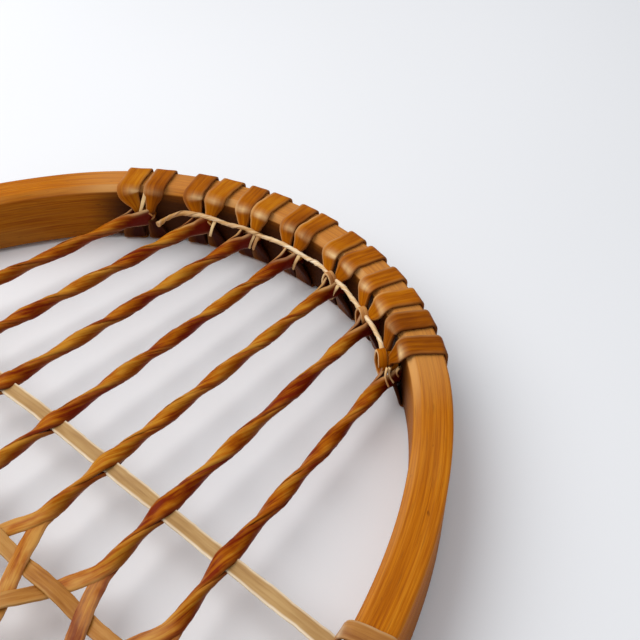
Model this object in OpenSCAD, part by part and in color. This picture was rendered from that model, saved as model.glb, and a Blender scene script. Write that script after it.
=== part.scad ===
// Wooden snowshoe: a hoop of bent ash, laced with rawhide.
// +Y points to the toe, +X to the right, +Z up. The origin is on the ground, under the middle of the hoop.
// Both ends are drawn once, with the tip at +Y, and the heel end is that drawing turned half round.

/* [Hoop] */
// Length of the wooden hoop
frame_length = 500; // [460:10:600]
// Width of the wooden hoop
frame_width = 266; // [256:2:290]
// Width of the ash stock, seen from above
stock_width = 12; // [10:0.5:15]
// Height of the ash stock
stock_height = 23; // [18:0.5:28]
// Radius on the long edges of the stock
edge_radius = 2.2; // [1:0.1:3]
// Outside radius of the bend at each tip
tip_radius = 118; // [112:1:122]

/* [Scarf joint] */
// Length of the long glued joint in one side of the hoop
scarf_length = 100; // [80:5:140]
// Thickness of the glue line
glue_line = 0.2; // [0.1:0.05:0.4]
// Diameter of a rivet's shank
rivet_d = 3.4; // [2.5:0.1:4]
// Diameter of a rivet's head
rivet_head_d = 7; // [6:0.5:8]
// Thickness of a rivet's head and of the burr under its peened end
rivet_head_t = 1.1; // [0.8:0.1:1.3]

/* [Laces] */
// Width of a flat lace
lace_width = 4.8; // [4:0.1:5.5]
// Thickness of a lace
lace_thickness = 1.2; // [0.9:0.1:1.5]
// Angle between a slanting lace and the length of the shoe
lace_angle = 30; // [26:1:34]
// Height of the lacing above the underside of the hoop
lacing_height = 12.3; // [10:0.1:14]
// Strands that lie side by side in the toe cord
toe_cord_strands = 3; // [2:1:4]
// Least length of the toe hole, from the toe cord to the toe strip
toe_hole_length = 82; // [70:1:95]

/* [Hitches] */
// Width of one turn round the hoop at a tip
turn_width = 7.6; // [6:0.1:8]
// Width of one turn round the hoop at a side
side_turn_width = 5.6; // [4:0.1:6]
// Bare wood between the two turns of a hitch
turn_gap = 1.8; // [1:0.1:2.5]
// Angle between one hitch and the next round a tip
hitch_angle = 12.2; // [11.5:0.1:13]
// Height of the tie that joins the two turns
tie_height = 5; // [4:0.1:6]
// Thickness of that tie
tie_thickness = 1.3; // [1:0.1:1.6]
// Opening between the two ends of a turn
turn_opening = 0.6; // [0.5:0.1:1]

/* [Cords] */
// Width of a twisted cord across both plies
cord_width = 5.6; // [4.5:0.1:6]
// Thickness of a twisted cord across one ply
cord_thickness = 3.6; // [3:0.1:4]
// Length of half a twist
half_twist = 21; // [18:0.5:26]
// Distance between cords where they clasp the strip
cord_spacing = 25.1; // [24:0.1:26]
// Distance between cords where their plies part
fork_spacing = 26.7; // [25:0.1:28]
// Distance from the tip of the hoop to the middle of the strip
strip_from_tip = 126; // [118:1:136]
// Distance from the strip to the place where the plies part
fork_from_strip = 25; // [22:0.5:28]
// Share by which a cord swells where its plies clasp the strip
clasp_swell = 0.3; // [0.2:0.05:0.4]
// Diameter of the selvage cord along the inside of a tip
selvage_d = 2; // [1.5:0.1:2.5]
// Angle from the tip to the cut end of the selvage
selvage_start = -28.5; // [-36:0.5:-20]
// Angle from the tip to the knotted end of the selvage
selvage_end = 37; // [30:0.5:38]

/* [Fits] */
// Space between a turn and the wood
snug = 0.15; // [0.12:0.01:0.3]
// Space between a lace and what it meets
lay_gap = 0.15; // [0.1:0.01:0.3]

/* [Hidden] */
$fn = 120;
cords = 7;
cord_sides = 8;
rings_per_half_twist = 5;
loop_wall = 2.6;
tie_lip = 0.5;
run_in = 1;
fullness = 0.03;
least_lace = 15;
lace_reach = 12;
cut = 5;
copper = "#b5703a";
wood = "#c07f35";
rawhide = "#a8701f";
dark_rawhide = "#8a5518";
pale_rawhide = "#c9a870";
straw = "#e0c896";

// Hoop: each tip bend runs into a wider shoulder bend on the slope of a 3-4-5 triangle
bend_slope = [0.8, 0.6];
half_length = frame_length / 2;
half_width = frame_width / 2;
shoulder_radius = (half_width - tip_radius * bend_slope.x) / (1 - bend_slope.x);
tip_center = half_length - tip_radius;
side_end = tip_center - (shoulder_radius - tip_radius) * bend_slope.y;
shoulder_center = half_width - shoulder_radius;
wood_bottom = lace_thickness + snug;
lacing_z = wood_bottom + lacing_height;

// Reach of the pieces on the inside of the hoop
turn_depth = snug + lace_thickness;
tie_depth = stock_width + turn_depth + tie_thickness;
tip_tie_radius = tip_radius - tie_depth;

// Places along the length, with the tip of the drawn end at +Y
strip_y = half_length - strip_from_tip;
fork_y = strip_y - fork_from_strip;
pair_angle = asin((turn_width + turn_gap) / 2 / (tip_radius - stock_width));

// Weave, with the heel at -Y
weave_start = -fork_y;
fork_slant = atan((fork_spacing - cord_spacing) * (cords - 1) / 2 / fork_from_strip);
row_pitch = fork_spacing / 2 / tan(lace_angle);
first_row = weave_start + row_pitch / 2;
row_count = floor((strip_y - toe_hole_length - first_row) / row_pitch);
toe_cord_y = first_row + row_count * row_pitch;
toe_cord_half = (toe_cord_strands * lace_width + (toe_cord_strands - 1) * lay_gap) / 2;
panel_rows = floor((strip_y - 2 * (side_turn_width + turn_gap) - toe_cord_y) / row_pitch);
lace_half = lace_width / 2 / cos(lace_angle);
side_cord = cord_spacing * 2;
side_cord_edge = side_cord + cord_width / 2 + lay_gap;

// X of the inner face of the hoop at a height y
function inner_x(y) =
    abs(y) <= side_end
        ? half_width - stock_width
        : shoulder_center + sqrt(pow(shoulder_radius - stock_width, 2) - pow(abs(y) - side_end, 2));

// X at which a lace stops before the tie of a side hitch
function lace_limit(y) = inner_x(y) - turn_depth - tie_thickness - lay_gap;

function row_y(i) = first_row + i * row_pitch;
function cord_index(i) = (cords + 1) / 2 - i;

// Rectangle with round corners, from its lower left to its upper right corner
module round_rectangle(low, high, radius) {
    translate([low.x + radius, low.y]) square([high.x - low.x - 2 * radius, high.y - low.y]);
    translate([low.x, low.y + radius]) square([high.x - low.x, high.y - low.y - 2 * radius]);
    for (x = [low.x + radius, high.x - radius], y = [low.y + radius, high.y - radius])
        translate([x, y]) circle(radius);
}

// Section of the stock, grown by a margin, with its outer face at X = 0
module stock_section(margin = 0) {
    round_rectangle(
        [-stock_width - margin, wood_bottom - margin],
        [margin, wood_bottom + stock_height + margin],
        edge_radius + margin
    );
}

// Section of one turn of lace round the stock, open below the tie on the inside
module turn_section() {
    difference() {
        stock_section(turn_depth);
        stock_section(snug);
        translate([-stock_width - turn_depth - cut, lacing_z - tie_height / 2 - tie_lip - turn_opening])
            square([turn_depth + cut, turn_opening]);
    }
}

// One turn round the stock, whose outer face lies at Y = 0
module turn(width) {
    rotate([90, 0, 90])
        translate([0, 0, -width / 2])
            linear_extrude(width) turn_section();
}

// Tie on the inside of a hitch, sunk by half a lace into the turns that it joins
module tie(length) {
    translate([-length / 2, -tie_depth, lacing_z - tie_height / 2])
        cube([length, tie_thickness + lace_thickness / 2, tie_height]);
}

// Hitch round a tip, at an angle from its middle
module tip_hitch(index) {
    middle = index * hitch_angle;
    color(rawhide)
        translate([0, tip_center, 0]) {
            for (side = [-1, 1])
                rotate(-middle - side * pair_angle)
                    translate([0, tip_radius, 0]) turn(turn_width);
            rotate(-middle)
                translate([0, tip_radius, 0]) tie(turn_width + turn_gap);
        }
}

// Place on the outer face of the right side, at a height y towards the tip
module at_side(y) {
    lean = y <= side_end ? 0 : asin((y - side_end) / shoulder_radius);
    translate([half_width - shoulder_radius * (1 - cos(lean)), y, 0])
        rotate(lean - 90) children();
}

// Hitch round the right side of the hoop, at a height y
module side_hitch(y) {
    step = side_turn_width + turn_gap;
    mirror([0, y < 0 ? 1 : 0, 0]) {
        for (side = [-1, 1])
            at_side(abs(y) + side * step / 2) turn(side_turn_width);
        at_side(abs(y)) tie(step);
    }
}

// Flat lace lying across the shoe, from x0 to x1
module cross_lace(y, x0, x1) {
    translate([x0, y - lace_width / 2, lacing_z - lace_thickness / 2])
        cube([x1 - x0, lace_width, lace_thickness]);
}

// Strip across one end, with its tip at +Y
module end_strip() {
    reach = lace_limit(strip_y + lace_width / 2);
    color(pale_rawhide) cross_lace(strip_y, -reach, reach);
}

// Points of a cord: at its hitch, at the strip and at its far end
function cord_route(index, tail, tail_spacing) =
    let(turned = index * hitch_angle,
        tie = [tip_tie_radius * sin(turned), tip_center + tip_tie_radius * cos(turned)],
        lean = atan((index * cord_spacing - tie.x) / (tie.y - strip_y)),
        start = tip_tie_radius - lay_gap - cord_width / 2 * sin(abs(turned + lean)))
    [
        [start * sin(turned), tip_center + start * cos(turned)],
        [index * cord_spacing, strip_y],
        [index * tail_spacing, strip_y - tail]
    ];

function along(route, u) =
    let(first = norm(route[1] - route[0]))
    u <= first
        ? route[0] + (route[1] - route[0]) * u / first
        : route[1] + (route[2] - route[1]) * (u - first) / norm(route[2] - route[1]);

function heading(route, u) =
    let(first = norm(route[1] - route[0]), step = u <= first ? route[1] - route[0] : route[2] - route[1])
    step / norm(step);

// One ring of the flattened section of a twisted cord
function cord_ring(route, u, phase, swell) =
    let(middle = along(route, u), way = heading(route, u))
    [
        for (side = [0:cord_sides - 1])
            let(turn = 360 * side / cord_sides,
                wide = cord_width / 2 * swell * cos(turn),
                thick = cord_thickness / 2 * swell * sin(turn),
                across = wide * cos(phase) - thick * sin(phase),
                up = wide * sin(phase) + thick * cos(phase))
            [middle.x + across * way.y, middle.y - across * way.x, lacing_z + up]
    ];

// Two plies twisted together, with one ply over and one under the strip
module twisted_cord(index, tail, tail_spacing) {
    route = cord_route(index, tail, tail_spacing);
    first = norm(route[1] - route[0]);
    length = first + norm(route[2] - route[1]);
    half_turns = round(first / half_twist - 0.5) + 0.5;
    steps = ceil(length / half_twist * rings_per_half_twist);
    points = [
        for (i = [0:steps])
            let(u = length * i / steps,
                phase = 180 * half_turns * u / first,
                swell = 1 + clasp_swell * exp(-pow((u - first) / lace_width, 2)))
            each cord_ring(route, u, phase, swell)
    ];
    walls = [
        for (i = [0:steps - 1], j = [0:cord_sides - 1])
            let(a = i * cord_sides + j, b = i * cord_sides + (j + 1) % cord_sides)
            each [[a, b, b + cord_sides], [a, b + cord_sides, a + cord_sides]]
    ];
    last = steps * cord_sides;
    caps = [
        for (j = [1:cord_sides - 2])
            each [[0, j + 1, j], [last, last + j, last + j + 1]]
    ];
    color(dark_rawhide)
        difference() {
            polyhedron(points, concat(walls, caps));
            translate([index * cord_spacing, strip_y, lacing_z])
                cube([4 * cord_width, lace_width + 2 * lay_gap, lace_thickness + 2 * lay_gap], center = true);
        }
}

// Thin cord along the inside of a tip, above the ties
module selvage() {
    ring = tip_radius - stock_width - turn_depth - lay_gap - selvage_d / 2;
    color(straw)
        translate([0, tip_center, lacing_z + tie_height / 2 + lay_gap + selvage_d / 2])
            rotate(90 - selvage_end)
                rotate_extrude(angle = selvage_end - selvage_start)
                    translate([ring, 0]) circle(d = selvage_d);
}

// Bend of the hoop round a centre, kept in a wedge between two directions from a corner
module bend(center, radius, corner, from, to, margin) {
    reach = 2 * radius;
    intersection() {
        translate([center.x, center.y, 0])
            rotate_extrude() translate([radius, 0]) stock_section(margin);
        translate([0, 0, -cut])
            linear_extrude(stock_height + 3 * cut)
                polygon([corner, corner + from * reach, corner + to * reach]);
    }
}

// Tip and sides run into the shoulders, which are fuller by a hair
module tip_bend() {
    center = [0, tip_center];
    bend(center, tip_radius, center - [0, run_in], bend_slope, [-bend_slope.x, bend_slope.y], 0);
}

module shoulder_bend() {
    center = [shoulder_center, side_end];
    bend(center, shoulder_radius, center, [1, 0], bend_slope, fullness);
}

module straight_side() {
    translate([half_width, side_end + run_in, 0])
        rotate([90, 0, 0])
            linear_extrude(2 * (side_end + run_in)) stock_section();
}

// Hoop of bent ash with its scarf joint in the right side
module frame_hoop() {
    color(wood)
        difference() {
            union() {
                for (turned = [0, 180])
                    rotate(turned) {
                        tip_bend();
                        straight_side();
                    }
                for (x = [0, 1], y = [0, 1])
                    mirror([x, 0, 0]) mirror([0, y, 0]) shoulder_bend();
            }
            translate([half_width - stock_width / 2, scarf_y(1), wood_bottom + stock_height / 2])
                rotate(-atan(stock_width / scarf_length))
                    cube([glue_line, scarf_length + stock_width, stock_height + cut], center = true);
            for (i = [0:2])
                at_rivet(i) cylinder(d = rivet_d + snug, h = stock_width + 2 * cut);
        }
}

// Rivets lie midway between the hitches nearest the middle of the shoe
function scarf_y(i) = row_y(round(-first_row / row_pitch) - 1.5 + i);

// Axis of a rivet, running outwards from inside the hoop
module at_rivet(i) {
    translate([half_width - stock_width - cut, scarf_y(i), wood_bottom + stock_height / 2])
        rotate([0, 90, 0]) children();
}

// Rivet with a low cone head outside and a peened end over its burr
module scarf_rivets() {
    peen_d = (rivet_d + rivet_head_d) / 2;
    color(copper)
        for (i = [0:2])
            at_rivet(i) {
                translate([0, 0, cut - rivet_head_t]) cylinder(d = rivet_d, h = stock_width + rivet_head_t);
                translate([0, 0, cut + stock_width])
                    cylinder(d1 = rivet_head_d, d2 = rivet_head_d * 0.6, h = rivet_head_t);
                translate([0, 0, cut - 2 * rivet_head_t])
                    cylinder(d1 = peen_d * 0.6, d2 = peen_d, h = rivet_head_t);
            }
}

// Washers under the peened ends of the rivets
module rivet_burrs() {
    color(copper)
        for (i = [0:2])
            at_rivet(i)
                translate([0, 0, cut - rivet_head_t])
                    difference() {
                        cylinder(d = rivet_head_d, h = rivet_head_t);
                        translate([0, 0, -cut]) cylinder(d = rivet_d + snug, h = rivet_head_t + 2 * cut);
                    }
}

// Turns at the two ends of one strip
module strip_hitches(y) {
    color(pale_rawhide)
        for (side = [0, 1])
            mirror([side, 0, 0]) side_hitch(y);
}

// Turns at one side of the hoop for every row of the weave
module side_hitches() {
    color(rawhide)
        for (i = [0:row_count + panel_rows])
            side_hitch(row_y(i));
}

// Strips of the weave between the heel and the toe cord
module cross_strips() {
    color(rawhide)
        for (i = [0:row_count - 1])
            cross_lace(row_y(i), -lace_limit(row_y(i)), lace_limit(row_y(i)));
}

// Strands of the toe cord, side by side
module toe_cord() {
    reach = lace_limit(toe_cord_y);
    pitch = lace_width + lay_gap;
    color(dark_rawhide)
        for (i = [0:toe_cord_strands - 1])
            cross_lace(toe_cord_y + (i - (toe_cord_strands - 1) / 2) * pitch, -reach, reach);
}

// X of the slanting lace k, which leans to the right as it goes to the toe
function lace_x(k, y) = k * fork_spacing + (y - weave_start) * tan(lace_angle);
function lace_y(k, x) = weave_start + (x - k * fork_spacing) / tan(lace_angle);

// Slanting laces in a bay of the weave, cut off where they meet its edges
module slanting_laces(left, right, bottom, top) {
    for (k = [-lace_reach:lace_reach]) {
        first = abs(k) < cords / 2 ? bottom : max(bottom, first_row - lace_width / 2);
        y0 = max(first, lace_y(k, left + lace_half));
        y1 = min(top, lace_y(k, right - lace_half));
        if (y1 - y0 > least_lace)
            translate([0, 0, lacing_z + lace_thickness / 2 + lay_gap])
                linear_extrude(lace_thickness)
                    polygon([
                        [lace_x(k, y0) - lace_half, y0],
                        [lace_x(k, y0) + lace_half, y0],
                        [lace_x(k, y1) + lace_half, y1],
                        [lace_x(k, y1) - lace_half, y1]
                    ]);
    }
}

// Laces of the left hand lie under the strips
module lower_laces() {
    translate([0, 0, -lace_thickness - 2 * lay_gap - lace_thickness])
        mirror([1, 0, 0]) children();
}

module rear_bay() {
    reach = lace_limit(first_row);
    bottom = weave_start + lay_gap + cord_width / 2 * sin(fork_slant);
    slanting_laces(-reach, reach, bottom, toe_cord_y - toe_cord_half - lay_gap);
}

// The right hand bay beside the toe hole, for laces that lean to the right
module panel_bay(left, right) {
    top = strip_y - lace_width / 2 - loop_wall - lay_gap;
    slanting_laces(left, right, toe_cord_y + toe_cord_half + lay_gap, top);
}

module right_leaning_laces() {
    color(rawhide) rear_bay();
}

module left_leaning_laces() {
    color(rawhide) lower_laces() rear_bay();
}

// Strips beside the toe hole, on the right
module right_panel_strips() {
    color(rawhide)
        for (i = [1:panel_rows])
            cross_lace(row_y(row_count + i), side_cord_edge, lace_limit(row_y(row_count + i)));
}

// Laces beside the toe hole, on the right
module right_panel_laces() {
    reach = lace_limit(strip_y);
    color(rawhide) {
        panel_bay(side_cord_edge, reach);
        lower_laces() panel_bay(-reach, -side_cord_edge);
    }
}

module left_panel_strips() {
    mirror([1, 0, 0]) right_panel_strips();
}

module left_panel_laces() {
    mirror([1, 0, 0]) right_panel_laces();
}

// Cords at the toe turn round the strip, but two run on to the toe cord
module toe_end_cord(index) {
    tail = abs(index) == 2 ? strip_y - toe_cord_y - toe_cord_half - lay_gap : lace_width / 2 + loop_wall;
    twisted_cord(index, tail, cord_spacing);
}

module heel_end_cord(index) {
    rotate(180) twisted_cord(index, fork_from_strip, fork_spacing);
}

// Least space between the turns of one hitch, and between the ends of one turn
echo(least_gap = min(turn_opening, 2 * (tip_radius - tie_depth) * sin(pair_angle) - turn_width));

frame_hoop();
scarf_rivets();
rivet_burrs();
for (i = [1:cords]) {
    rotate(180) tip_hitch(cord_index(i));
    heel_end_cord(cord_index(i));
    tip_hitch(cord_index(i));
    toe_end_cord(cord_index(i));
}
rotate(180) selvage();  // heel_selvage
selvage();  // toe_selvage
rotate(180) end_strip();  // heel_strip
end_strip();  // toe_strip
strip_hitches(-strip_y);  // heel_strip_hitches
strip_hitches(strip_y);  // toe_strip_hitches
side_hitches();  // right_side_hitches
mirror([1, 0, 0]) side_hitches();  // left_side_hitches
cross_strips();
toe_cord();
right_leaning_laces();
left_leaning_laces();
left_panel_strips();
right_panel_strips();
left_panel_laces();
right_panel_laces();
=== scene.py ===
import math

import bpy
import numpy as np
from mathutils import Matrix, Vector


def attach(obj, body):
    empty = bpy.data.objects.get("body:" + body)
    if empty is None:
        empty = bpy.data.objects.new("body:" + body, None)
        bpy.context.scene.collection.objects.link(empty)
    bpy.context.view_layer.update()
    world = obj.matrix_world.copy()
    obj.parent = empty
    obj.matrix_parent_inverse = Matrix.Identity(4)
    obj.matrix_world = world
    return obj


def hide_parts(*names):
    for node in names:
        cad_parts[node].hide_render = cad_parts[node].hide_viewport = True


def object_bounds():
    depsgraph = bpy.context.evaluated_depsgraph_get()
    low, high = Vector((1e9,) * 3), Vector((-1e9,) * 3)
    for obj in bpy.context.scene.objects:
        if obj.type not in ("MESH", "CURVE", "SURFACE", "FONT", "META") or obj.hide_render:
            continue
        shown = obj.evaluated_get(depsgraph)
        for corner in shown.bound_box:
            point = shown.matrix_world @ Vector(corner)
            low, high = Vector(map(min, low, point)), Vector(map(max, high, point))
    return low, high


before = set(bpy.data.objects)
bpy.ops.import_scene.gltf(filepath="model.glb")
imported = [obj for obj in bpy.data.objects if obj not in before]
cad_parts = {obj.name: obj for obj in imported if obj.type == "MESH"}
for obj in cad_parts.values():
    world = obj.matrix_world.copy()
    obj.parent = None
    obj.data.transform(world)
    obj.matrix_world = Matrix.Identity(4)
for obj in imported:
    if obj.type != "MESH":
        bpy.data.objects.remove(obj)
cad_low, cad_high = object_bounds()

# Sizes in millimetres: those of the part as in its source, and those of its finer forms
MM = 0.001
HALF_WIDTH = 133.0
STOCK_WIDTH = 12.0
EDGE = 0.9
BEVEL = 2.3
WOOD_BOTTOM = 1.35
WOOD_TOP = 24.35
TIP_RADIUS = 118.0
TIP_CENTER = 132.0
SHOULDER_RADIUS = 193.0
SHOULDER_CENTER = HALF_WIDTH - SHOULDER_RADIUS
SIDE_END = 87.0
BEND_ANGLE = math.atan2(0.6, 0.8)
LACING_Z = 13.65
LACE_WIDTH = 4.8
LACE_DEPTH = 1.2
SIDE_TURN = 5.6
TURN_GAP = 1.8
SIDE_NECK = 14.6
TIP_NECK = 15.6
TIP_NECK_HALF = 2.9
NECK_WIDTH = 3.0
HITCH_ANGLE = 12.2
STRIP_Y = 124.0
FORK_Y = 99.0
CORD_SPACING = 25.1
FORK_SPACING = 26.7
SLANT = math.tan(math.radians(30))
ROW_PITCH = FORK_SPACING / 2 / SLANT
FIRST_ROW = -FORK_Y + ROW_PITCH / 2
ROW_COUNT = 5
PANEL_ROWS = 3
TOE_CORD_Y = FIRST_ROW + ROW_COUNT * ROW_PITCH
TOE_CORD_HALF = 7.35
SIDE_CORD = 2 * CORD_SPACING
SCARF_Y = FIRST_ROW + 3.5 * ROW_PITCH
SCARF_SLOPE = 0.12
SCARF_EASE = 0.12
FEATHER = 0.35
GLUE_GAP = 0.04
CORD_START = 105.3
HALF_TWIST = 24.0
PLY_DEPTH = 1.75
WEAVE_WAVE = 0.72

# Hitches and cords of a tip are counted from the first one, k = 3, to the last one, k = -3
CORD_COUNT = 7
FIRST = 3

# How far the root of the first cord hangs below the others
FIRST_DROP = 3.3

# Sense of the twist of the cords
LAY = -1.0

# Direction away from the key light: sides of turns and plies that face it get painted shade
AWAY_FROM_LIGHT = np.array([-0.85, 0.0, -0.53])

# How much paler the cut edges of a turn are; the edge on the side towards the light is much paler than the
# other, a painted highlight
TURN_EDGE = 0.3


# Helpers for shapes
def smooth(t):
    t = np.clip(t, 0.0, 1.0)
    return t * t * (3 - 2 * t)


def wander(s, seed, amount, length):
    """A slow waver along a piece, the same on every run."""
    pick = np.random.RandomState(seed)
    total = np.zeros_like(s)
    for step in range(3):
        phase = pick.uniform(0, 2 * math.pi)
        total += np.sin(s * 2 * math.pi * (1 + 0.7 * step) / length + phase) / (1 + step)
    return amount * total / 1.8


def unit(v):
    return v / np.maximum(np.linalg.norm(v, axis=-1, keepdims=True), 1e-9)


def lengths(points):
    return np.r_[0, np.cumsum(np.linalg.norm(np.diff(points, axis=0), axis=1))]


def curve(points, step):
    """A smooth path through a few points."""
    p = np.array(points, float)
    p = np.vstack([2 * p[0] - p[1], p, 2 * p[-1] - p[-2]])
    out = []
    for i in range(1, len(p) - 2):
        a, b, c, d = p[i - 1:i + 3]
        count = max(2, int(np.linalg.norm(c - b) / step))
        t = np.linspace(0, 1, count, endpoint=False)[:, None]
        bend = (2 * a - 5 * b + 4 * c - d) * t**2 + (3 * b - a - 3 * c + d) * t**3
        out.append(b + 0.5 * ((c - a) * t + bend))
    out.append(p[-2:-1])
    return np.vstack(out)


def relax(points, rounds, first=1, spare=1):
    """Evens out a path from its point first on, apart from the last spare points."""
    last = len(points) - spare
    for _ in range(rounds):
        total = points[first - 1:last - 1] + 2 * points[first:last] + points[first + 1:last + 1]
        points[first:last] = total / 4


class Strands:
    """The swept strands of one piece, with marks that its material reads."""

    def __init__(self):
        self.points = []
        self.faces = []
        self.even = []
        self.places = []
        self.marks = {"tone": [], "shade": [], "pale": []}
        self.size = 0

    def sweep(self, rings, along, around, tone, shade, pale):
        """Adds a closed skin over the rings, with flat caps and its face directions outwards."""
        count, sides = rings.shape[:2]
        index = self.size + np.arange(count * sides).reshape(count, sides)
        over = np.roll(index, -1, axis=1)
        quads = np.stack([index[:-1], over[:-1], over[1:], index[1:]], axis=-1)
        u0 = np.repeat(along[:-1, None], sides, axis=1)
        u1 = np.repeat(along[1:, None], sides, axis=1)
        v0 = np.repeat(around[None, :-1], count - 1, axis=0)
        v1 = np.repeat(around[None, 1:], count - 1, axis=0)
        marks = np.stack([u0, v0, u0, v1, u1, v1, u1, v0], axis=-1)
        middle = rings.mean(axis=(0, 1))
        p = rings - middle
        n = np.roll(p, -1, axis=1)
        volume = np.einsum("ijk,ijk->", p[:-1], np.cross(n[:-1], n[1:]))
        volume += np.einsum("ijk,ijk->", p[:-1], np.cross(n[1:], p[1:]))
        faces = quads.reshape(-1, 4).tolist()
        places = marks.reshape(-1, 4, 2).tolist()
        even = [True] * len(faces)
        for row, flip in ((0, True), (count - 1, False)):
            cap = index[row].tolist()
            spots = [[along[row], v] for v in around[:-1]]
            faces.append(cap[::-1] if flip else cap)
            places.append(spots[::-1] if flip else spots)
            even.append(False)
        if volume < 0:
            faces = [f[::-1] for f in faces]
            places = [m[::-1] for m in places]
        self.points.append(rings.reshape(-1, 3))
        self.faces += faces
        self.places += places
        self.even += even
        for name, value in (("tone", tone), ("shade", shade), ("pale", pale)):
            self.marks[name].append(np.broadcast_to(value, (count, sides)).ravel())
        self.size += count * sides


def strand(strands, points, normals, width, depth, seed, square=0.42, sides=16, cup=0.0, rough=0.0,
           groove=0.0, edge_pale=(0.0, 0.0), pale=0.0, dark=0.0, below=None, wash=0.0, lee_shade=0.0, patch=None):
    """One strand along a path. Its face lies along normals, and below is how far it goes under the path.
    Shares from 0 to 1 make it darker or paler: painted shade on the face that looks away from its normals
    (groove) and on the sides that face away from the light, a given darker share (dark: painted shade on
    turns and cords, own tone on the selvage and the first hitch), paler edges (edge_pale), a paler upper
    face near the place across given by patch (pale: a painted highlight on turns, own colour on ties and
    pale strands) and paler all over (wash)."""
    count = len(points)
    s = lengths(points)
    width = np.broadcast_to(np.asarray(width, float), (count,))
    depth = np.broadcast_to(np.asarray(depth, float), (count,))
    forward = unit(np.gradient(points, axis=0))
    across = unit(np.cross(forward, normals))
    up = unit(np.cross(across, forward))
    turn = 2 * math.pi * np.arange(sides) / sides
    c, n = np.cos(turn), np.sin(turn)
    x = np.sign(c) * np.abs(c)**square
    y = np.sign(n) * np.abs(n)**square
    right = width / 2 + wander(s, seed + 1, rough, 17) + wander(s, seed + 2, rough * 0.5, 5)
    left = width / 2 + wander(s, seed + 3, rough, 19) + wander(s, seed + 4, rough * 0.5, 6)
    flat = np.where(x[None, :] > 0, right[:, None], left[:, None]) * x[None, :]
    under = depth / 2 if below is None else np.broadcast_to(np.asarray(below, float), (count,))
    reach = np.where(y[None, :] > 0, (depth - under)[:, None], under[:, None])
    thick = reach * (1 + wander(s, seed + 5, rough * 0.25, 9)[:, None]) * y[None, :]
    thick = thick + cup * (x[None, :]**2 - 0.4)
    rings = points[:, None, :] + across[:, None, :] * flat[..., None] + up[:, None, :] * thick[..., None]
    mean = np.c_[x * width.mean() / 2, y * depth.mean() / 2]
    around = np.r_[0, np.cumsum(np.linalg.norm(np.roll(mean, -1, axis=0) - mean, axis=1))]
    tone = np.random.RandomState(seed).uniform(0, 1)
    # Painted shade on the face away from the normals, by the groove share, plus the given dark share
    shade = np.reshape(groove, (-1, 1)) * smooth((0.15 - y) / 0.8)[None, :] + np.reshape(dark, (-1, 1))
    # Painted shade on the sides that face away from the light
    facing = (across @ AWAY_FROM_LIGHT)[:, None] * x[None, :] + (up @ AWAY_FROM_LIGHT)[:, None] * y[None, :]
    shade = shade + np.reshape(lee_shade, (-1, 1)) * smooth((facing + 0.05) / 0.75)
    light = np.reshape(edge_pale[0], (-1, 1)) * smooth((-x - 0.72) / 0.22)[None, :]
    light = light + np.reshape(edge_pale[1], (-1, 1)) * smooth((x - 0.72) / 0.22)[None, :]
    # Paler upper face near the place across given by patch: a painted highlight on the turns
    face = smooth((y + 0.2) / 0.5) * (1.0 if patch is None else np.exp(-((x - patch) / 0.75)**2))
    light = light + np.reshape(pale, (-1, 1)) * face[None, :] + np.reshape(wash, (-1, 1))
    start = np.random.RandomState(seed + 9).uniform(0, 300)
    strands.sweep(rings, (s + start) / 10, (around + start * 0.37) / 10, tone,
                  np.clip(shade, 0, 1), np.clip(light, 0, 1))


def place(strands, name, material, nodes):
    """Makes the piece and puts it where its CAD nodes are."""
    mesh = bpy.data.meshes.new(name)
    mesh.from_pydata((np.vstack(strands.points) * MM).tolist(), [], strands.faces)
    layer = mesh.uv_layers.new(name="UVMap")
    layer.data.foreach_set("uv", np.array([v for m in strands.places for v in m]).ravel())
    mesh.polygons.foreach_set("use_smooth", strands.even)
    for mark, values in strands.marks.items():
        attribute = mesh.attributes.new(mark, "FLOAT", "POINT")
        attribute.data.foreach_set("value", np.concatenate(values))
    mesh.materials.append(material)
    mesh.update()
    piece = bpy.data.objects.new(name, mesh)
    bpy.context.scene.collection.objects.link(piece)
    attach(piece, "root")
    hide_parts(*nodes)


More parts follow.
